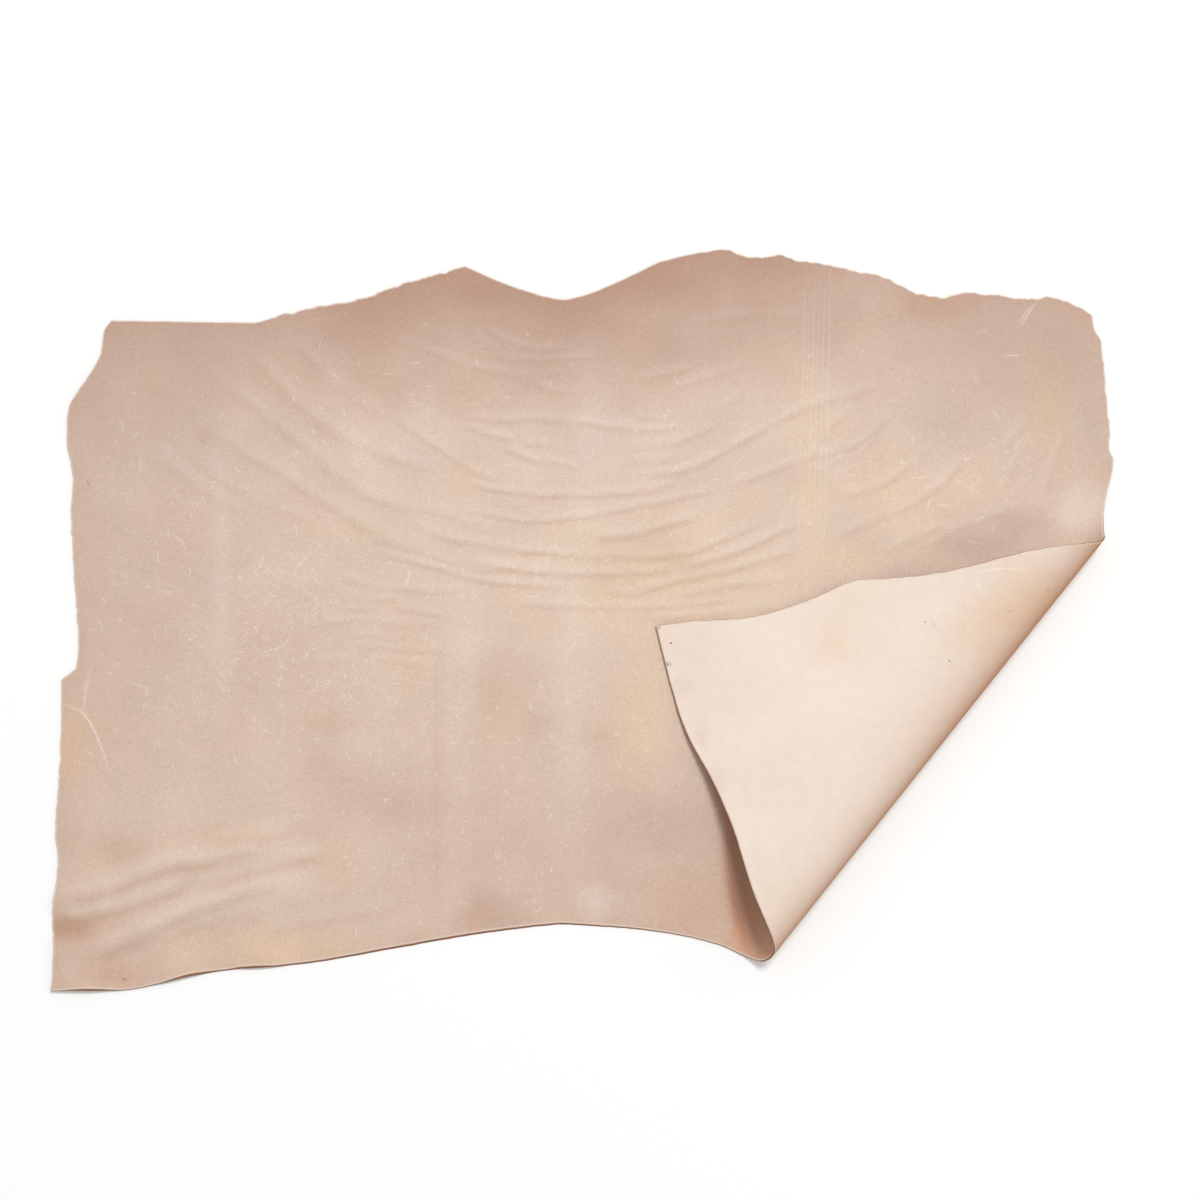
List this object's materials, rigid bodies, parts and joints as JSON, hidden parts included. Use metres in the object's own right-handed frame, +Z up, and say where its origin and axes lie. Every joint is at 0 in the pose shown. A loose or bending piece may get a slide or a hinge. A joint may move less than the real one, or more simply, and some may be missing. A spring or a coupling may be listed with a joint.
{
  "type": "leather split",
  "caption": "Loose vegetable-tanned leather hide laid flat, smooth side up, with one corner turned over to show its cream back; a sheet to cut leather goods from",
  "frame": {"origin": "bottom centre of the bounding box, on the surface that the hide lies on", "axes": "+X right, along the long side; +Y away from the viewer, towards the neck notch; +Z up, out of the surface"},
  "size_m": [1.3854, 0.9786, 0.057],
  "materials": {
    "leather": "natural undyed vegetable tan, matt smooth grain on one side and cream brushed flesh on the other"
  },
  "bodies": {
    "root": {"hide": "leather"}
  },
  "joints": []
}
